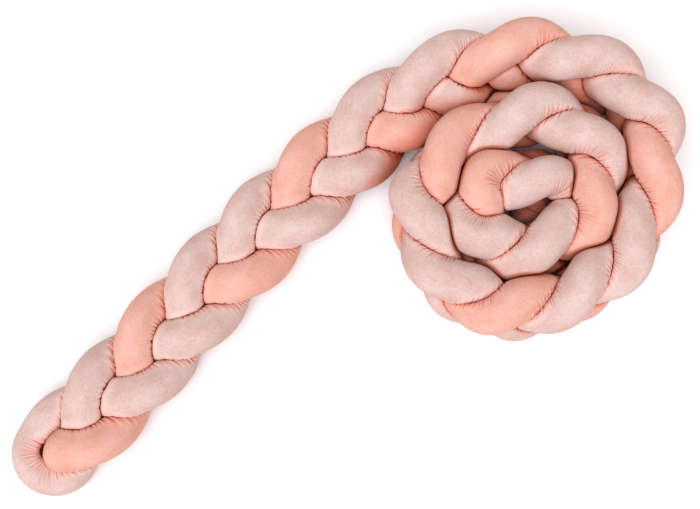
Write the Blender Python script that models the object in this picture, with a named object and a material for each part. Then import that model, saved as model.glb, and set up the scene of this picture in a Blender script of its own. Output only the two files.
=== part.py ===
"""Crib bumper: two soft stuffed tubes plaited in three strands, laid out straight and then coiled.

The pale tube is folded in half at the free end, so it makes two of the three strands. The peach
tube is the third. The free end lies flat on the ground, and the rest rolls onto its edge and
winds inwards, clockwise from above. Metres, +Z up, the ground at z = 0, the origin under the
middle of the outline. A place along the plait is counted in leaves: leaf n is the bulge where a
strand comes round the plait's left edge for the nth time, counted from the free end.
"""
import math

import bmesh
import bpy
import numpy as np

TUBE_RADIUS = 0.030         # of a tube with nothing pressing on it
WIDE_REACH = 0.042          # a strand swings this far to either side of the plait's middle
DEEP_REACH = 0.017          # and this far towards its front and its back
LEAN = 0.003                # where the plait lies flat, its right side is drawn back by twice this
STRANDS = 3
GROUND_SQUASH = 0.003       # the plait sinks this much under its own weight
SEAM_GAP = 0.0024           # left between two faces that press on each other
PRESS_SHARPNESS = 10.0      # how squarely a pressed face meets the round one
BEND_SHARE = 0.90           # the inside of a bend stops at this share of the bend's radius
OWN_REACH = 2.6             # a tube presses on itself beyond this many radii along it
END_SQUARENESS = 2.2        # 2 would be a half ball, and more is squarer
TIP_SHARE = 0.02            # the first ring of a rounded end, as a share of the radius

SIDES = 12                  # corners round a tube
RING_STEP = 0.0165          # between two rings along a tube
DOME_RINGS = 3              # rings in each rounded end
GUIDE_STEP = 0.005          # between the points that neighbours press against
LEAF_STEP = 0.1             # between the points worked out along a strand

# The plait's middle, leaf by leaf. Roll 0 lies flat, roll 90 stands on the right edge.
LEAF, X, Y, ROLL = range(4)
PLAIT = (
    # leaf,    x,       y,  roll in degrees
    (0, -0.4831, -0.3448, 0),
    (1, -0.4083, -0.2677, 0),
    (2, -0.3323, -0.1900, 0),
    (3, -0.2607, -0.1064, 0),
    (4, -0.1859, -0.0240, 0),
    (5, -0.1088, 0.0576, 0),
    (6, -0.0253, 0.1377, 1),
    (7, 0.0563, 0.2104, 12),
    (8, 0.1498, 0.2670, 34),
    (9, 0.2497, 0.2953, 61),
    (10, 0.3504, 0.2851, 80),
    (11, 0.4361, 0.2198, 88),
    (12, 0.4485, 0.1226, 90),
    (13, 0.4146, 0.0168, 90),
    (14, 0.3334, -0.0548, 90),
    (15, 0.2356, -0.0787, 90),
    (16, 0.1521, -0.0402, 85),
    (17, 0.1081, 0.0551, 83),
    (18, 0.1418, 0.1375, 84),
    (19, 0.2460, 0.2084, 97),
    (20, 0.3491, 0.1789, 98),
    (21, 0.3655, 0.0778, 98),
    (22, 0.2888, 0.0124, 96),
    (23, 0.1946, 0.0162, 96),
    (24, 0.1866, 0.0983, 98),
    (25, 0.2726, 0.1098, 98),
    (26, 0.3313, 0.0751, 92),
)

# Where the tubes leave the plait's pattern: x, y, z of the tube's middle.
PEACH_OUTER_END = (         # at the free end, resting inside the fold of the pale tube
    (-0.4418, -0.2865, 0.0540),
    (-0.4252, -0.2880, 0.0570),
    (-0.4082, -0.2868, 0.0595),
)
PALE_FOLD = (               # flat on the ground round the peach tube's end
    (-0.4394, -0.2402, 0.0330),
    (-0.4584, -0.2657, 0.0290),
    (-0.4684, -0.2897, 0.0280),
    (-0.4584, -0.3142, 0.0280),
    (-0.4334, -0.3252, 0.0280),
    (-0.4084, -0.3157, 0.0280),
)
PEACH_INNER_END = (         # in the middle of the coil, on the ground
    (0.2708, 0.105, 0.050),
    (0.2768, 0.085, 0.036),
    (0.2678, 0.064, 0.030),
    (0.2498, 0.051, 0.028),
)
PALE_UPPER_END = (          # tucked in, downwards
    (0.3148, 0.101, 0.070),
    (0.3158, 0.103, 0.080),
    (0.3128, 0.106, 0.090),
)
PALE_LOWER_END = (          # beside it, on the ground
    (0.2838, 0.136, 0.043),
    (0.2958, 0.136, 0.038),
    (0.3078, 0.130, 0.033),
)

# The strand's number and the leaves between which it follows the plait's pattern.
PEACH_RUN = (0, 1.05, 24.6)
PALE_RUN_TO_FOLD = (1, 1.4, 25.4)
PALE_RUN_FROM_FOLD = (2, 0.9, 24.9)

# name: colour (linear), roughness
CLOTHS = {
    "tube_peach": ((0.90, 0.45, 0.36), 0.9),
    "tube_pale": ((0.80, 0.55, 0.50), 0.9),
}


def unit(vectors):
    return vectors / np.linalg.norm(vectors, axis=-1, keepdims=True)


def natural_spline(knots, values, wanted):
    """Smooth curve through values at the knots, straight at both ends, read at the wanted places."""
    step = np.diff(knots)
    count = len(knots)
    matrix = np.eye(count)
    right = np.zeros_like(values)
    slope = np.diff(values, axis=0) / step[:, None]
    for i in range(1, count - 1):
        matrix[i, i - 1:i + 2] = step[i - 1], 2.0 * (step[i - 1] + step[i]), step[i]
        right[i] = 6.0 * (slope[i] - slope[i - 1])
    bend = np.linalg.solve(matrix, right)
    span = np.clip(np.searchsorted(knots, wanted) - 1, 0, count - 2)
    width = step[span, None]
    after = wanted[:, None] - knots[span, None]
    before = width - after
    cubic = (bend[span] * before ** 3 + bend[span + 1] * after ** 3) / (6.0 * width)
    start = values[span] / width - bend[span] * width / 6.0
    finish = values[span + 1] / width - bend[span + 1] * width / 6.0
    return cubic + start * before + finish * after


def plait_middle(leaves):
    """The plait's middle line and its roll. It stands as high as the lower strand needs."""
    table = np.array(PLAIT, float)
    read = natural_spline(table[:, LEAF], table[:, X:], leaves)
    roll = np.radians(read[:, 2])
    height = TUBE_RADIUS - GROUND_SQUASH + np.hypot(DEEP_REACH * np.cos(roll), WIDE_REACH * np.sin(roll))
    return np.column_stack([read[:, :2], height]), roll


def strand_points(strand, first, last):
    """A strand's middle: once from side to side while it goes twice between front and back."""
    leaves = np.arange(first, last + LEAF_STEP / 2, LEAF_STEP)
    middle, roll = plait_middle(leaves)
    ahead = unit(plait_middle(leaves + LEAF_STEP / 2)[0] - plait_middle(leaves - LEAF_STEP / 2)[0])
    level = unit(np.cross([0.0, 0.0, 1.0], ahead))
    above = np.cross(ahead, level)
    cosine, sine = np.cos(roll)[:, None], np.sin(roll)[:, None]
    left = cosine * level + sine * above
    front = cosine * above - sine * level
    swing = (2.0 * math.pi * (leaves - strand) / STRANDS)[:, None]
    across = WIDE_REACH * np.cos(swing) * left - DEEP_REACH * np.sin(2.0 * swing) * front
    return middle + across - LEAN * (1.0 - np.cos(swing)) * cosine * ahead


def along_line(points):
    """Length along the points to each of them."""
    return np.concatenate([[0.0], np.cumsum(np.linalg.norm(np.diff(points, axis=0), axis=1))])


def ball_size(along, total):
    """Radius of the largest ball round that place that stays inside the tube."""
    return np.clip(np.minimum(along, total - along), 0.0, TUBE_RADIUS)


def dome_size(along, total):
    """Radius of the tube there: full, but for the two rounded ends."""
    depth = ball_size(along, total) / TUBE_RADIUS
    return TUBE_RADIUS * (1.0 - (1.0 - depth) ** END_SQUARENESS) ** (1.0 / END_SQUARENESS)


def ring_places(total):
    """Even rings along the tube, and closer ones over each rounded end."""
    angle = np.linspace(0.0, math.pi / 2, DOME_RINGS + 1)[:-1]
    dome = TUBE_RADIUS * (1.0 - np.cos(angle))
    count = int(round((total - 2 * TUBE_RADIUS) / RING_STEP)) + 1
    run = np.linspace(TUBE_RADIUS, total - TUBE_RADIUS, count)
    return np.concatenate([dome, run, total - dome[::-1]])


def carried_frames(line):
    """Directions ahead, across and up at each ring, carried along so that the rings don't twist."""
    ahead = unit(np.gradient(line, axis=0))
    across = [unit(np.cross(ahead[0], [0.0, 0.0, 1.0]))]
    for direction in ahead[1:]:
        across.append(unit(across[-1] - direction * np.dot(across[-1], direction)))
    across = np.array(across)
    return ahead, across, np.cross(ahead, across)


def pressed_rings(points, neighbours):
    """Rings of a soft tube. Where two tubes press on each other, each stops halfway between."""
    total = along_line(points)[-1]
    places = ring_places(total)
    line = natural_spline(along_line(points), points, places)
    ahead, across, up = carried_frames(line)
    bend = np.gradient(ahead, axis=0) / np.gradient(places)[:, None]
    turn = np.linspace(0.0, 2.0 * math.pi, SIDES, endpoint=False)[:, None]
    rings = []
    for place, centre, side, top, curve in zip(places, line, across, up, bend):
        rays = np.cos(turn) * side + np.sin(turn) * top
        size = max(dome_size(place, total), TIP_SHARE * TUBE_RADIUS)
        closeness = np.full(SIDES, size ** -PRESS_SHARPNESS)
        inward = np.maximum(rays @ curve, 0.0)
        closeness += (inward / BEND_SHARE) ** PRESS_SHARPNESS
        for guide, guide_along, own in neighbours:
            offset = guide - centre
            distance = np.linalg.norm(offset, axis=1)
            near = distance < 2 * TUBE_RADIUS + SEAM_GAP
            if own:
                near &= np.abs(guide_along - place) > OWN_REACH * TUBE_RADIUS
            near = np.flatnonzero(near)
            for run in np.split(near, np.flatnonzero(np.diff(near) > 1) + 1):
                if len(run):
                    other = ball_size(guide_along[run], guide_along[-1])
                    halfway = (distance[run] ** 2 + size ** 2 - other ** 2 - SEAM_GAP * distance[run]) / 2
                    facing = np.maximum(rays @ offset[run].T, 0.0)
                    stop = (facing / np.maximum(halfway, SEAM_GAP * TUBE_RADIUS)).max(axis=1)
                    closeness += stop ** PRESS_SHARPNESS
        rings.append(centre + rays * (closeness ** (-1.0 / PRESS_SHARPNESS))[:, None])
    rings = np.array(rings)
    rings[:, :, 2] = np.maximum(rings[:, :, 2], 0.0)
    return rings


def skin(rings):
    """Closed surface over the rings: a capped circle whose rim is pulled on from ring to ring."""
    shape = bmesh.new()
    rim = bmesh.ops.create_circle(shape, cap_ends=True, segments=SIDES, radius=TUBE_RADIUS)["verts"]
    for corner, spot in zip(rim, rings[0]):
        corner.co = spot
    for ring in rings[1:]:
        edges = [shape.edges.get((rim[i - 1], rim[i])) for i in range(SIDES)]
        pulled = set(bmesh.ops.extrude_edge_only(shape, edges=edges)["geom"])
        rim = [next(edge.other_vert(corner) for edge in corner.link_edges if edge.other_vert(corner) in pulled)
               for corner in rim]
        for corner, spot in zip(rim, ring):
            corner.co = spot
    bmesh.ops.contextual_create(shape, geom=[shape.edges.get((rim[i - 1], rim[i])) for i in range(SIDES)])
    bmesh.ops.recalc_face_normals(shape, faces=shape.faces)
    return shape


def add_tube(name, points, neighbours):
    shape = skin(pressed_rings(points, neighbours))
    mesh = bpy.data.meshes.new(name)
    shape.to_mesh(mesh)
    shape.free()
    mesh.shade_smooth()
    colour, roughness = CLOTHS[name]
    material = bpy.data.materials.new(name + "_cloth")
    material.use_nodes = True
    surface = material.node_tree.nodes["Principled BSDF"]
    surface.inputs["Base Color"].default_value = (*colour, 1.0)
    surface.inputs["Roughness"].default_value = roughness
    surface.inputs["Metallic"].default_value = 0.0
    mesh.materials.append(material)
    tube = bpy.data.objects.new(name, mesh)
    bpy.context.scene.collection.objects.link(tube)


def guide_points(points):
    """The close points of a tube that its neighbours press against, and the length to each."""
    along = along_line(points)
    places = np.linspace(0.0, along[-1], int(round(along[-1] / GUIDE_STEP)) + 1)
    return natural_spline(along, points, places), places


for thing in list(bpy.data.objects):
    bpy.data.objects.remove(thing, do_unlink=True)

peach = np.concatenate([PEACH_OUTER_END, strand_points(*PEACH_RUN), PEACH_INNER_END])
pale = np.concatenate([PALE_UPPER_END, strand_points(*PALE_RUN_TO_FOLD)[::-1],
                       PALE_FOLD, strand_points(*PALE_RUN_FROM_FOLD), PALE_LOWER_END])
peach_guide, pale_guide = guide_points(peach), guide_points(pale)
add_tube("tube_peach", peach, [(*peach_guide, True), (*pale_guide, False)])
add_tube("tube_pale", pale, [(*pale_guide, True), (*peach_guide, False)])
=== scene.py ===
"""Looks of the plaited crib bumper: two stuffed velvet tubes, laid out straight and then coiled.

Metres, +Z up, the ground at z = 0. A place along the plait is counted in leaves: leaf n is the bulge
where a strand comes round the plait's left edge for the nth time, counted from the free end.
"""
import math

import bmesh
import bpy
import numpy as np
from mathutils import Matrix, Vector, noise


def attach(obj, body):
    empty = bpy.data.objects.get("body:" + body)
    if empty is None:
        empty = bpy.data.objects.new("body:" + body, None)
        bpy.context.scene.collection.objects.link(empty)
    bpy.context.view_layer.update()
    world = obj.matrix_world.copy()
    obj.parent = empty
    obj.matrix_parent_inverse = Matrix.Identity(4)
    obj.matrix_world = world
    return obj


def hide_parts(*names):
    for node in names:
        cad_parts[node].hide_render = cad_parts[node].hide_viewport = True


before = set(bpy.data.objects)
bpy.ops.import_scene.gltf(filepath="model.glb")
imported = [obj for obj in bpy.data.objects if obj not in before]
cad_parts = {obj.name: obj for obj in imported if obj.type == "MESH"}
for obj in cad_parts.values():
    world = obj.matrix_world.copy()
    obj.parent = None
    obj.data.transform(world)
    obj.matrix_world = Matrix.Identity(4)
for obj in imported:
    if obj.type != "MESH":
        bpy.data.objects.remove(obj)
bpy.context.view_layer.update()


# ---------------------------------------------------------------- the two stuffed tubes
# Two tubes of soft short-pile velvet, each sewn into a hose and stuffed with loose fibre until it is
# plump. The pale one is folded in half at the free end and makes two strands of the plait, and the
# peach one makes the third. The cloth puckers into gathers on the inner side of every bend.

TUBE_RADIUS = 0.030         # of a tube with nothing pressing on it
WIDE_REACH = 0.042          # a strand swings this far to either side of the plait's middle
DEEP_REACH = 0.017          # and this far towards its front and its back
LEAN = 0.003                # where the plait lies flat, its right edge is drawn back by twice this
STRANDS = 3
GROUND_SQUASH = 0.003       # the plait sinks this much under its own weight
SEAM_GAP = 0.0005           # left between two strands that press on each other
TURN_GAP = 0.0020           # left between two turns of the coil
TURN_LEAVES = 4.0           # a strand more leaves away than this is in another turn
PRESS_SHARPNESS = 26.0      # how squarely a pressed face meets the round one
BEND_SHARE = 0.90           # the inside of a bend stops at this share of the bend's radius
OWN_REACH = 2.6 * TUBE_RADIUS       # a tube presses on itself from this far along it
END_SQUARENESS = 2.2        # 2 would be a half ball, and more is squarer
TIP_SHARE = 0.02            # the first ring of a rounded end, as a share of the radius
LEAST_HALFWAY = 1.5e-5      # keeps a division clear of nought, where two tubes share a place
GUIDE_STEP = 0.005          # between the points that neighbours press against
LEAF_STEP = 0.1             # between the points worked out along a strand

# The plait's middle, leaf by leaf. Roll 0 lies flat, roll 90 stands on the right edge.
LEAF, X, Y, ROLL = range(4)
PLAIT = (
    # leaf,    x,       y,  roll in degrees
    (0, -0.4831, -0.3448, 0),
    (1, -0.4083, -0.2677, 0),
    (2, -0.3323, -0.1900, 0),
    (3, -0.2607, -0.1064, 0),
    (4, -0.1859, -0.0240, 0),
    (5, -0.1088, 0.0576, 0),
    (6, -0.0253, 0.1377, 1),
    (7, 0.0563, 0.2104, 12),
    (8, 0.1498, 0.2670, 34),
    (9, 0.2497, 0.2953, 61),
    (10, 0.3504, 0.2851, 80),
    (11, 0.4361, 0.2198, 88),
    (12, 0.4485, 0.1226, 90),
    (13, 0.4146, 0.0168, 90),
    (14, 0.3334, -0.0548, 90),
    (15, 0.2356, -0.0787, 90),
    (16, 0.1521, -0.0402, 85),
    (17, 0.1081, 0.0551, 83),
    (18, 0.1418, 0.1375, 84),
    (19, 0.2460, 0.2084, 97),
    (20, 0.3491, 0.1789, 98),
    (21, 0.3655, 0.0778, 98),
    (22, 0.2888, 0.0124, 96),
    (23, 0.1946, 0.0162, 96),
    (24, 0.1866, 0.0983, 98),
    (25, 0.2726, 0.1098, 98),
    (26, 0.3313, 0.0751, 92),
)

# Where the tubes leave the plait's pattern: x, y, z of the tube's middle.
PEACH_OUTER_END = (         # at the free end, resting inside the fold of the pale tube
    (-0.4418, -0.2865, 0.0540),
    (-0.4252, -0.2880, 0.0570),
    (-0.4082, -0.2868, 0.0595),
)
PALE_FOLD = (               # flat on the ground round the peach tube's end
    (-0.4394, -0.2402, 0.0330),
    (-0.4584, -0.2657, 0.0290),
    (-0.4684, -0.2897, 0.0280),
    (-0.4584, -0.3142, 0.0280),
    (-0.4334, -0.3252, 0.0280),
    (-0.4084, -0.3157, 0.0280),
)
PEACH_INNER_END = (         # in the middle of the coil, on the ground
    (0.2708, 0.105, 0.050),
    (0.2768, 0.085, 0.036),
    (0.2678, 0.064, 0.030),
    (0.2498, 0.051, 0.028),
)
PALE_UPPER_END = (          # tucked in, its tip pointing down
    (0.3148, 0.101, 0.070),
    (0.3158, 0.103, 0.080),
    (0.3128, 0.106, 0.090),
)
PALE_LOWER_END = (          # beside the peach end, on the ground
    (0.2838, 0.136, 0.043),
    (0.2958, 0.136, 0.038),
    (0.3078, 0.130, 0.033),
)

# The strand's number and the leaves between which it follows the plait's pattern.
PEACH_RUN = (0, 1.05, 24.6)
PALE_RUN_TO_FOLD = (1, 1.4, 25.4)
PALE_RUN_FROM_FOLD = (2, 0.9, 24.9)


def unit(vectors):
    return vectors / np.linalg.norm(vectors, axis=-1, keepdims=True)


def natural_spline(knots, values, wanted):
    """Smooth curve through values at the knots, straight at both ends, read at the wanted places."""
    step = np.diff(knots)
    count = len(knots)
    matrix = np.eye(count)
    right = np.zeros_like(values)
    slope = np.diff(values, axis=0) / step[:, None]
    for i in range(1, count - 1):
        matrix[i, i - 1:i + 2] = step[i - 1], 2.0 * (step[i - 1] + step[i]), step[i]
        right[i] = 6.0 * (slope[i] - slope[i - 1])
    bend = np.linalg.solve(matrix, right)
    span = np.clip(np.searchsorted(knots, wanted) - 1, 0, count - 2)
    width = step[span, None]
    after = wanted[:, None] - knots[span, None]
    before = width - after
    cubic = (bend[span] * before ** 3 + bend[span + 1] * after ** 3) / (6.0 * width)
    start = values[span] / width - bend[span] * width / 6.0
    finish = values[span + 1] / width - bend[span + 1] * width / 6.0
    return cubic + start * before + finish * after


def plait_middle(leaves):
    """The plait's middle line and its roll. It stands as high as the lower strand needs."""
    table = np.array(PLAIT, float)
    read = natural_spline(table[:, LEAF], table[:, X:], leaves)
    roll = np.radians(read[:, 2])
    height = TUBE_RADIUS - GROUND_SQUASH + np.hypot(DEEP_REACH * np.cos(roll), WIDE_REACH * np.sin(roll))
    return np.column_stack([read[:, :2], height]), roll


def run_leaves(strand, first, last):
    """The leaf of each point worked out along a strand."""
    return np.arange(first, last + LEAF_STEP / 2, LEAF_STEP)


def strand_points(*run):
    """A strand's middle: once from side to side while it goes twice between front and back."""
    leaves = run_leaves(*run)
    middle, roll = plait_middle(leaves)
    ahead = unit(plait_middle(leaves + LEAF_STEP / 2)[0] - plait_middle(leaves - LEAF_STEP / 2)[0])
    level = unit(np.cross([0.0, 0.0, 1.0], ahead))
    above = np.cross(ahead, level)
    cosine, sine = np.cos(roll)[:, None], np.sin(roll)[:, None]
    left = cosine * level + sine * above
    front = cosine * above - sine * level
    swing = (2.0 * math.pi * (leaves - run[0]) / STRANDS)[:, None]
    across = WIDE_REACH * np.cos(swing) * left - DEEP_REACH * np.sin(2.0 * swing) * front
    return middle + across - LEAN * (1.0 - np.cos(swing)) * cosine * ahead


def along_line(points):
    """Length along the points to each of them."""
    return np.concatenate([[0.0], np.cumsum(np.linalg.norm(np.diff(points, axis=0), axis=1))])


def ball_size(along, total):
    """Radius of the largest ball round that place that stays inside the tube."""
    return np.clip(np.minimum(along, total - along), 0.0, TUBE_RADIUS)


def dome_size(along, total):
    """Radius of the tube there: full, but for the two rounded ends."""
    depth = ball_size(along, total) / TUBE_RADIUS
    return TUBE_RADIUS * (1.0 - (1.0 - depth) ** END_SQUARENESS) ** (1.0 / END_SQUARENESS)


def guide_points(points, leaves):
    """The close points of a tube that its neighbours press against, the length to each, and its leaf."""
    along = along_line(points)
    places = np.linspace(0.0, along[-1], int(round(along[-1] / GUIDE_STEP)) + 1)
    return natural_spline(along, points, places), places, np.interp(places, along, leaves)


def carried_frames(line):
    """Directions ahead, across and up at each ring, carried along so that the rings don't twist."""
    ahead = unit(np.gradient(line, axis=0))
    across = [unit(np.cross(ahead[0], [0.0, 0.0, 1.0]))]
    for direction in ahead[1:]:
        across.append(unit(across[-1] - direction * np.dot(across[-1], direction)))
    across = np.array(across)
    return ahead, across, np.cross(ahead, across)


def smooth_share(value, low, high):
    """0 up to low, 1 from high on, and an even S-curve between."""
    share = np.clip((value - low) / (high - low), 0.0, 1.0)
    return share * share * (3.0 - 2.0 * share)


# The gathers: each is a narrow valley across the inner side of a bend or along a seam between two tubes,
# with a flatter puff between one valley and the next.
SIDES = 36                  # corners round a tube
DOME_RINGS = 8              # rings in each rounded end
GATHER_PITCH = 0.0060       # between two valleys in a tight bend
CALM_PITCH = 0.012          # between two valleys where the tube runs straight
PITCH_SPREAD = (0.65, 1.40)  # each pitch is this much of the usual one
VALLEY_SHARES = (0.27, 0.50, 0.73)   # the valley's near side, bottom and far side, as shares of the pitch
GATHER_DEPTH = 0.0025       # of the deepest valley
DEPTH_SPREAD = (0.2, 1.0)
REACH_SPREAD = (0.5, 2.2)   # how fast a valley fades away from the inside of the bend
SLACK = (0.22, 0.54)        # share of the cloth left over where gathers start, and where they are deepest
SEAM_SLACK = 0.42           # share of the cloth left over beside a seam
SEAM_EDGE = (0.55, 1.00)    # how hard a neighbour presses where that starts, and where it is full
BULGE = 0.11                # share by which the pressed cloth bulges out beside a seam
BULGE_EDGE = (0.50, 1.00)   # how hard a neighbour presses where that starts, and where it is full
WOBBLE = 0.0018             # a valley wanders this far along the tube
WOBBLE_SIZE = 0.016         # and this far round it between one turn and the next
WOBBLE_SHIFT = (7, 3, 5)    # reads the noise elsewhere than the lumps do
LUMP_DEPTHS = ((0.050, 0.0012), (0.018, 0.0004))    # size and depth of the filling's lumps
REST_STEP = 0.004           # between the places where the bend is measured
COVER_REACH = 0.15          # tubes nearer than this can cover a place from the light above

# What the material is told about each place on the cloth: its slack, the depth of the gather there, how
# hard a strand of the same turn presses, how hard another turn does, and the share of light kept off.
CLOTH_STATE = ("slack", "valley", "pressed", "abutted", "covered")


def ring_plan(total, tight, draw):
    """Places of the rings, and of each ring the depth and reach of the valley that it lies in."""
    angle = np.linspace(0.0, math.pi / 2, DOME_RINGS + 1)[:-1]
    dome = TUBE_RADIUS * (1.0 - np.cos(angle))
    places, depths, reaches = list(dome), [0.0] * DOME_RINGS, [1.0] * DOME_RINGS
    place = TUBE_RADIUS
    while place < total - TUBE_RADIUS - GATHER_PITCH:
        pitch = np.interp(tight(place), SLACK, (CALM_PITCH, GATHER_PITCH)) * draw.uniform(*PITCH_SPREAD)
        pitch = min(pitch, total - TUBE_RADIUS - place)
        depth, reach = draw.uniform(*DEPTH_SPREAD), draw.uniform(*REACH_SPREAD)
        places += [place + pitch * share for share in VALLEY_SHARES]
        depths += [0.0, depth, 0.0]
        reaches += [reach] * 3
        place += pitch
    places += list(total - dome[::-1])
    depths += [0.0] * DOME_RINGS
    reaches += [1.0] * DOME_RINGS
    return np.array(places), np.array(depths), np.array(reaches)


def near_runs(place, centre, neighbours):
    """Each stretch of a middle line close by: the way to its points, how far, the balls there, its leaf."""
    for guide, guide_along, guide_leaf, own in neighbours:
        offset = guide - centre
        distance = np.linalg.norm(offset, axis=1)
        near = distance < 2 * TUBE_RADIUS + TURN_GAP
        if own:
            near &= np.abs(guide_along - place) > OWN_REACH
        near = np.flatnonzero(near)
        for run in np.split(near, np.flatnonzero(np.diff(near) > 1) + 1):
            if len(run):
                balls = ball_size(guide_along[run], guide_along[-1])
                yield offset[run], distance[run], balls, guide_leaf[run].mean()


def covered_share(place, centre, rays, spots, neighbours):
    """Share of the light from above that the tubes close by keep off each spot of a ring."""
    covered = np.zeros(SIDES)
    for guide, guide_along, _, own in neighbours:
        near = np.linalg.norm(guide - centre, axis=1) < COVER_REACH
        if own:
            near &= np.abs(guide_along - place) > OWN_REACH
        away = guide[near] - spots[:, None]
        faced = np.maximum((away * rays[:, None]).sum(axis=2), 0.0) * np.maximum(away[:, :, 2], 0.0)
        covered += (faced / np.linalg.norm(away, axis=2) ** 4).sum(axis=1)
    return covered * (2.0 * TUBE_RADIUS * GUIDE_STEP / math.pi)


def soft_tube(points, leaves, neighbours, draw):
    """Every point of a soft tube's skin, its place on the cloth, and the state of the cloth there.

    Where two tubes press on each other, each stops halfway between and bulges out beside the seam. The
    cloth is gathered inside a bend and along a seam.
    """
    along = along_line(points)
    total = along[-1]
    even = np.linspace(0.0, total, int(round(total / REST_STEP)) + 1)
    even_line = natural_spline(along, points, even)
    even_bend = np.gradient(unit(np.gradient(even_line, axis=0)), axis=0) / REST_STEP
    places, depths, reaches = ring_plan(
        total, lambda place: TUBE_RADIUS * np.linalg.norm(even_bend[int(place / REST_STEP)]), draw)
    line = natural_spline(along, points, places)
    bend = np.column_stack([np.interp(places, even, even_bend[:, i]) for i in range(3)])
    turn = np.linspace(0.0, 2.0 * math.pi, SIDES, endpoint=False)[:, None]
    skin, cloth, state = [], [], []
    for place, leaf, centre, front, side, top, curve, depth, reach in zip(
            places, np.interp(places, along, leaves), line, *carried_frames(line), bend, depths, reaches):
        rays = np.cos(turn) * side + np.sin(turn) * top
        size = max(dome_size(place, total), TIP_SHARE * TUBE_RADIUS)

        # How close the nearest stop is along each ray: the inside of the bend, then each neighbour.
        closeness = (np.maximum(rays @ curve, 0.0) / BEND_SHARE) ** PRESS_SHARPNESS
        pressed, abutted = np.zeros(SIDES), np.zeros(SIDES)
        for offset, distance, balls, other_leaf in near_runs(place, centre, neighbours):
            same_turn = abs(other_leaf - leaf) < TURN_LEAVES
            gap = SEAM_GAP if same_turn else TURN_GAP
            halfway = (distance ** 2 + size ** 2 - balls ** 2 - gap * distance) / 2
            facing = np.maximum(rays @ offset.T, 0.0)
            stop = (facing / np.maximum(halfway, LEAST_HALFWAY)).max(axis=1)
            closeness += stop ** PRESS_SHARPNESS
            presses = pressed if same_turn else abutted
            np.maximum(presses, stop * size, out=presses)
        plump = size * (1.0 + BULGE * smooth_share(pressed, *BULGE_EDGE))
        closeness += plump ** -PRESS_SHARPNESS
        free = plump ** -PRESS_SHARPNESS / closeness

        # The filling's lumps where nothing presses, and the gathers where the cloth is slack.
        spots = np.column_stack([np.full(SIDES, place), TUBE_RADIUS * np.cos(turn),
                                 TUBE_RADIUS * np.sin(turn)])
        lump = np.zeros(SIDES)
        for lump_size, lump_depth in LUMP_DEPTHS:
            lump += lump_depth * np.array([noise.noise(Vector(spot) / lump_size) for spot in spots])
        in_bend = TUBE_RADIUS * (np.linalg.norm(curve) + rays @ curve) / 2.0
        slack = smooth_share(in_bend + SEAM_SLACK * smooth_share(pressed, *SEAM_EDGE), *SLACK)
        valley = depth * slack ** reach
        radius = closeness ** (-1.0 / PRESS_SHARPNESS) + lump * free - GATHER_DEPTH * valley
        wander = WOBBLE * np.array([
            noise.noise(Vector(spot) / WOBBLE_SIZE + Vector(WOBBLE_SHIFT)) for spot in spots])
        skin.append(centre + rays * radius[:, None] + front * (wander * size / TUBE_RADIUS)[:, None])
        cloth.append(spots)
        covered = covered_share(place, centre, rays, skin[-1], neighbours)
        state.append(np.column_stack([slack, valley, pressed, abutted, covered]))
    skin = np.array(skin)
    skin[:, :, 2] = np.maximum(skin[:, :, 2], 0.0)
    return skin, np.array(cloth), np.array(state)


def sewn_tube(name, skin, cloth, state):
    """A flat sheet of quads, wrapped round the tube, joined along its length and closed at both ends."""
    rings = len(skin)
    shape = bmesh.new()
    on_cloth = shape.verts.layers.float_vector.new("on_cloth")
    layers = [shape.verts.layers.float.new(value) for value in CLOTH_STATE]
    bmesh.ops.create_grid(shape, x_segments=rings - 1, y_segments=SIDES, size=1.0)
    shape.verts.ensure_lookup_table()
    for number, corner in enumerate(shape.verts):
        side, ring = divmod(number, rings)
        side %= SIDES
        corner.co = skin[ring, side]
        corner[on_cloth] = Vector(cloth[ring, side])
        for layer, value in zip(layers, state[ring, side]):
            corner[layer] = value
    seam = [corner for number, corner in enumerate(shape.verts) if number // rings in (0, SIDES)]
    bmesh.ops.remove_doubles(shape, verts=seam, dist=1e-6)
    bmesh.ops.holes_fill(shape, edges=[edge for edge in shape.edges if edge.is_boundary], sides=0)
    bmesh.ops.recalc_face_normals(shape, faces=shape.faces)
    mesh = bpy.data.meshes.new(name)
    shape.to_mesh(mesh)
    shape.free()
    mesh.shade_smooth()
    tube = bpy.data.objects.new(name, mesh)
    bpy.context.scene.collection.objects.link(tube)
    return tube


def linear(hex_colour):
    """sRGB hex to the linear colour that a shader takes."""
    parts = [int(hex_colour[i:i + 2], 16) / 255.0 for i in (1, 3, 5)]
    return (*(p / 12.92 if p <= 0.04045 else ((p + 0.055) / 1.055) ** 2.4 for p in parts), 1.0)


def add_node(tree, kind, links=None, **settings):
    """A node with its settings, its constant inputs and its links by input name."""
    node = tree.nodes.new(kind)
    for setting, value in settings.items():
        setattr(node, setting, value)
    for socket, value in (links or {}).items():
        if isinstance(value, bpy.types.NodeSocket):
            tree.links.new(value, node.inputs[socket])
        else:
            node.inputs[socket].default_value = value
    return node


# The velvet's own pattern, in metres on the cloth.
PATCH_SIZE = 0.028          # patches where the pile lies one way
NAP_SIZE = 0.0026           # tufts of the pile
CRIMP_PITCH = 0.0042        # fine creases across the tube where the cloth is slack
BAND_LENGTH = 0.31          # between two bands of the wave texture at scale 1
PUCKER_DEPTH = 0.0008       # of the fine creases
PILE_DEPTH = 0.0004         # of the nap

# How much each painted shade deepens the colour, at most.
GATHER_SHADE = 0.62          # painted shade in the bottom of a gather, towards the deeper colour of the parted pile
CREASE_SHADE = 0.20          # painted shade in slack cloth beside a seam, towards the deeper colour of the parted pile
SEAM_SHADE = 0.40           # a seam between two strands, as if covered by this share
TURN_SHADE = 0.35           # the same between two turns of the coil
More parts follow.
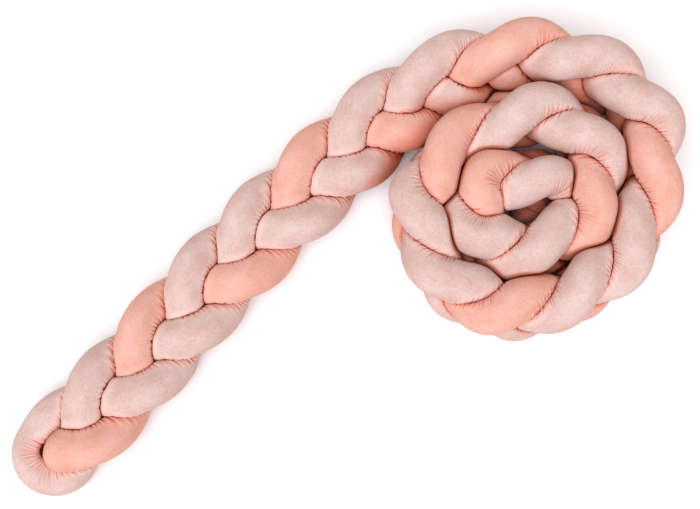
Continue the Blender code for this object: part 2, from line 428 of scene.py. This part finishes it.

# Painted shade: light that reaches the cloth deep between the strands has bounced from strand to strand and
# is redder, and this is painted into the colour: the share of the light from above that other tubes cover,
# and what it leaves of the cloth's colour.
HOLLOW_SHADE_TONES = (
    # covered, colour
    (0.02, "#FFFFFF"),
    (0.08, "#F9DFD8"),
    (0.20, "#EAB8A3"),
    (0.38, "#DC9678"),
    (0.58, "#B86440"),
    (0.80, "#5E2610"),
)


def velvet(name, lit, shade, seam_highlight, fold_shade, hollow_shading):
    """Short-pile velvet, warp knitted and sheared: matt, soft to the eye, and faintly patchy.

    Its colour carries painted shade in folds, seams and hollows, and a painted highlight beside seams.
    """
    material = bpy.data.materials.new(name)
    material.use_nodes = True
    tree = material.node_tree
    tree.nodes.clear()
    place = add_node(tree, "ShaderNodeAttribute", attribute_name="on_cloth").outputs["Vector"]
    slack, valley, pressed, abutted, covered = (
        add_node(tree, "ShaderNodeAttribute", attribute_name=layer).outputs["Fac"] for layer in CLOTH_STATE)

    # The pile, lit where it lies one way and shaded where it lies the other.
    brushed = add_node(tree, "ShaderNodeTexNoise", {
        "Vector": place, "Scale": 1 / PATCH_SIZE, "Detail": 2.0})
    nap = add_node(tree, "ShaderNodeTexNoise", {
        "Vector": place, "Scale": 1 / NAP_SIZE, "Detail": 2.0})
    mottle = add_node(tree, "ShaderNodeMath", {
        0: brushed.outputs["Fac"], 1: nap.outputs["Fac"]}, operation="ADD")
    toward = add_node(tree, "ShaderNodeMapRange", {
        "Value": mottle.outputs[0], "From Min": 0.65, "From Max": 1.35, "To Min": 1.0, "To Max": 0.0})
    pile_colour = add_node(tree, "ShaderNodeMix", {
        "Factor": toward.outputs[0], "A": linear(lit), "B": linear(shade)}, data_type="RGBA")

    # Painted highlight: paler beside a seam, as if the pile there caught more light, but only out in the
    # open light.
    near_seam = add_node(tree, "ShaderNodeMapRange", {
        "Value": pressed, "From Min": 0.55, "From Max": 0.95, "To Min": 0.0, "To Max": 1.0},
        interpolation_type="SMOOTHSTEP")
    in_open = add_node(tree, "ShaderNodeMapRange", {
        "Value": covered, "From Min": 0.03, "From Max": 0.18, "To Min": 1.0, "To Max": 0.0})
    highlight_share = add_node(tree, "ShaderNodeMath", {
        0: near_seam.outputs[0], 1: in_open.outputs[0]}, operation="MULTIPLY")
    highlit_colour = add_node(tree, "ShaderNodeMix", {
        "Factor": highlight_share.outputs[0], "A": pile_colour.outputs["Result"], "B": linear(seam_highlight)},
        data_type="RGBA")

    # Redder where a gather or a fine crease parts the pile: painted shade in the fold, and the deeper
    # colour of the parted pile.
    bands = add_node(tree, "ShaderNodeTexWave", {
        "Vector": place, "Scale": BAND_LENGTH / CRIMP_PITCH, "Distortion": 5.0, "Detail": 2.0,
        "Detail Scale": 0.5}, bands_direction="X")
    crimp = add_node(tree, "ShaderNodeMapRange", {
        "Value": bands.outputs["Fac"], "From Min": 0.55, "From Max": 1.0, "To Min": 0.0, "To Max": 0.55})
    fine = add_node(tree, "ShaderNodeMath", {0: crimp.outputs[0], 1: slack}, operation="MULTIPLY")
    gather = add_node(tree, "ShaderNodeMath", {0: valley, 1: fine.outputs[0]}, operation="MAXIMUM")
    drawn_in = add_node(tree, "ShaderNodeMapRange", {
        "Value": slack, "From Min": 0.55, "From Max": 1.0, "To Min": 0.0, "To Max": CREASE_SHADE})
    crease = add_node(tree, "ShaderNodeMath", {
        0: drawn_in.outputs[0], 1: near_seam.outputs[0]}, operation="MULTIPLY")
    depth = add_node(tree, "ShaderNodeMath", {
        0: gather.outputs[0], 1: GATHER_SHADE, 2: crease.outputs[0]}, operation="MULTIPLY_ADD",
        use_clamp=True)
    open_colour = add_node(tree, "ShaderNodeMix", {
        "Factor": depth.outputs[0], "A": highlit_colour.outputs["Result"], "B": linear(fold_shade)},
        data_type="RGBA")

    # Painted shade: redder and darker in a seam, between two turns of the coil and where other tubes keep
    # the light off.
    seam = add_node(tree, "ShaderNodeMapRange", {
        "Value": pressed, "From Min": 0.93, "From Max": 1.03, "To Min": 0.0, "To Max": SEAM_SHADE},
        interpolation_type="SMOOTHSTEP")
    between = add_node(tree, "ShaderNodeMapRange", {
        "Value": abutted, "From Min": 0.84, "From Max": 1.04, "To Min": 0.0, "To Max": TURN_SHADE})
    shut = add_node(tree, "ShaderNodeMath", {
        0: seam.outputs[0], 1: between.outputs[0]}, operation="ADD")
    nearer = add_node(tree, "ShaderNodeMapRange", {
        "Value": near_seam.outputs[0], "To Min": 0.75, "To Max": 1.6})
    closed_in = add_node(tree, "ShaderNodeMath", {
        0: covered, 1: nearer.outputs[0], 2: shut.outputs[0]}, operation="MULTIPLY_ADD")
    hollow_shade_ramp = add_node(tree, "ShaderNodeValToRGB", {"Fac": closed_in.outputs[0]})
    for mark, (cover, tone) in enumerate(HOLLOW_SHADE_TONES):
        stop = hollow_shade_ramp.color_ramp.elements[mark] if mark < 2 else hollow_shade_ramp.color_ramp.elements.new(cover)
        stop.position, stop.color = cover, linear(tone)
    colour = add_node(tree, "ShaderNodeMix", {
        "Factor": hollow_shading, "A": open_colour.outputs["Result"], "B": hollow_shade_ramp.outputs["Color"]},
        data_type="RGBA", blend_type="MULTIPLY")

    # The fine creases and the nap, as bump.
    pucker = add_node(tree, "ShaderNodeBump", {
        "Height": fine.outputs[0], "Strength": 1.0, "Distance": PUCKER_DEPTH}, invert=True)
    pile = add_node(tree, "ShaderNodeBump", {
        "Height": nap.outputs["Fac"], "Strength": 0.6, "Distance": PILE_DEPTH,
        "Normal": pucker.outputs[0]})
    surface = add_node(tree, "ShaderNodeBsdfPrincipled", {
        "Base Color": colour.outputs["Result"], "Roughness": 0.95, "Specular IOR Level": 0.05,
        "Sheen Weight": 0.15, "Sheen Roughness": 0.35, "Sheen Tint": linear("#FFB8A0"),
        "Normal": pile.outputs[0]})
    output = add_node(tree, "ShaderNodeOutputMaterial", {"Surface": surface.outputs[0]})
    output.is_active_output = True
    return material


peach = np.concatenate([PEACH_OUTER_END, strand_points(*PEACH_RUN), PEACH_INNER_END])
peach_leaves = np.pad(run_leaves(*PEACH_RUN), (len(PEACH_OUTER_END), len(PEACH_INNER_END)), "edge")
pale = np.concatenate([PALE_UPPER_END, strand_points(*PALE_RUN_TO_FOLD)[::-1],
                       PALE_FOLD, strand_points(*PALE_RUN_FROM_FOLD), PALE_LOWER_END])
pale_leaves = np.concatenate([
    np.pad(run_leaves(*PALE_RUN_TO_FOLD)[::-1], (len(PALE_UPPER_END), len(PALE_FOLD)), "edge"),
    np.pad(run_leaves(*PALE_RUN_FROM_FOLD), (0, len(PALE_LOWER_END)), "edge")])
peach_guide, pale_guide = guide_points(peach, peach_leaves), guide_points(pale, pale_leaves)
TUBES = (
    # piece, its solid, its slot, its middle line, the leaf at each point, the tubes that press on it,
    # the colours of the pile lit and shaded, of the painted highlight beside a seam and of the painted
    # shade in the gathers, how far the painted shade of the hollows reddens it, seed
    ("peach_tube", "tube_peach", "velvet_peach", peach, peach_leaves,
     [(*peach_guide, True), (*pale_guide, False)], "#E3B4A7", "#D99985", "#EEB6A6", "#D64E20", 0.7, 11),
    ("pale_tube", "tube_pale", "velvet_pale", pale, pale_leaves,
     [(*pale_guide, True), (*peach_guide, False)], "#D9C3BE", "#CBA296", "#EBC9C0", "#CE5730", 1.0, 23),
)
for piece, node, slot, points, leaves, neighbours, lit, shade, seam_highlight, fold_shade, hollow_shading, seed in TUBES:
    tube = sewn_tube(piece, *soft_tube(points, leaves, neighbours, np.random.default_rng(seed)))
    tube.data.materials.append(velvet(slot, lit, shade, seam_highlight, fold_shade, hollow_shading))
    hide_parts(node)
    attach(tube, "root")
    print(piece, "triangles", sum(len(face.vertices) - 2 for face in tube.data.polygons))


# ---------------------------------------------------------------- floor, light and camera
# A plain white studio floor, soft cool light from above and a little from the front left, and warm light
# from all round, as in the photograph.

FLOOR_SIZE = 40.0
FLOOR_DROP = 0.0002         # keeps the floor clear of the cloth that rests on it
ROOM_COLOUR = (1.0, 0.90, 0.82, 1.0)
ROOM_STRENGTH = 0.52
LAMP_COLOUR = (0.97, 1.02, 1.09)
LAMP_STRENGTH = 0.88 * math.pi
LAMP_SPREAD = 60            # degrees, for soft shadows
LAMP_SIDE = (-0.20, -0.38, 1.0)     # the way towards it

shape = bmesh.new()
bmesh.ops.create_grid(shape, x_segments=1, y_segments=1, size=FLOOR_SIZE)
bmesh.ops.translate(shape, verts=shape.verts, vec=(0.0, 0.0, -FLOOR_DROP))
mesh = bpy.data.meshes.new("floor")
shape.to_mesh(mesh)
shape.free()
floor = bpy.data.objects.new("floor", mesh)
bpy.context.scene.collection.objects.link(floor)
paper = bpy.data.materials.new("white_paper")
paper.use_nodes = True
board = paper.node_tree.nodes["Principled BSDF"]
board.inputs["Base Color"].default_value = linear("#F6F6F6")
board.inputs["Roughness"].default_value = 1.0
board.inputs["Specular IOR Level"].default_value = 0.0
mesh.materials.append(paper)

world = bpy.data.worlds.new("studio")
world.use_nodes = True
world.node_tree.nodes["Background"].inputs["Color"].default_value = ROOM_COLOUR
world.node_tree.nodes["Background"].inputs["Strength"].default_value = ROOM_STRENGTH
bpy.context.scene.world = world
lamp = bpy.data.lights.new("softbox", "SUN")
lamp.energy = LAMP_STRENGTH
lamp.color = LAMP_COLOUR
lamp.angle = math.radians(LAMP_SPREAD)
softbox = bpy.data.objects.new("softbox", lamp)
softbox.rotation_euler = Vector(LAMP_SIDE).to_track_quat("Z", "Y").to_euler()
bpy.context.scene.collection.objects.link(softbox)
bpy.context.scene.view_settings.view_transform = "Standard"

lens = bpy.data.cameras.new("camera")
lens.sensor_width = 36.0
lens.lens = 61.86
camera = bpy.data.objects.new("camera", lens)
camera.location = (0.0033, -0.2168, 1.8346)
camera.rotation_euler = (math.radians(7.0), 0.0, math.radians(0.14))
bpy.context.scene.collection.objects.link(camera)
bpy.context.scene.camera = camera
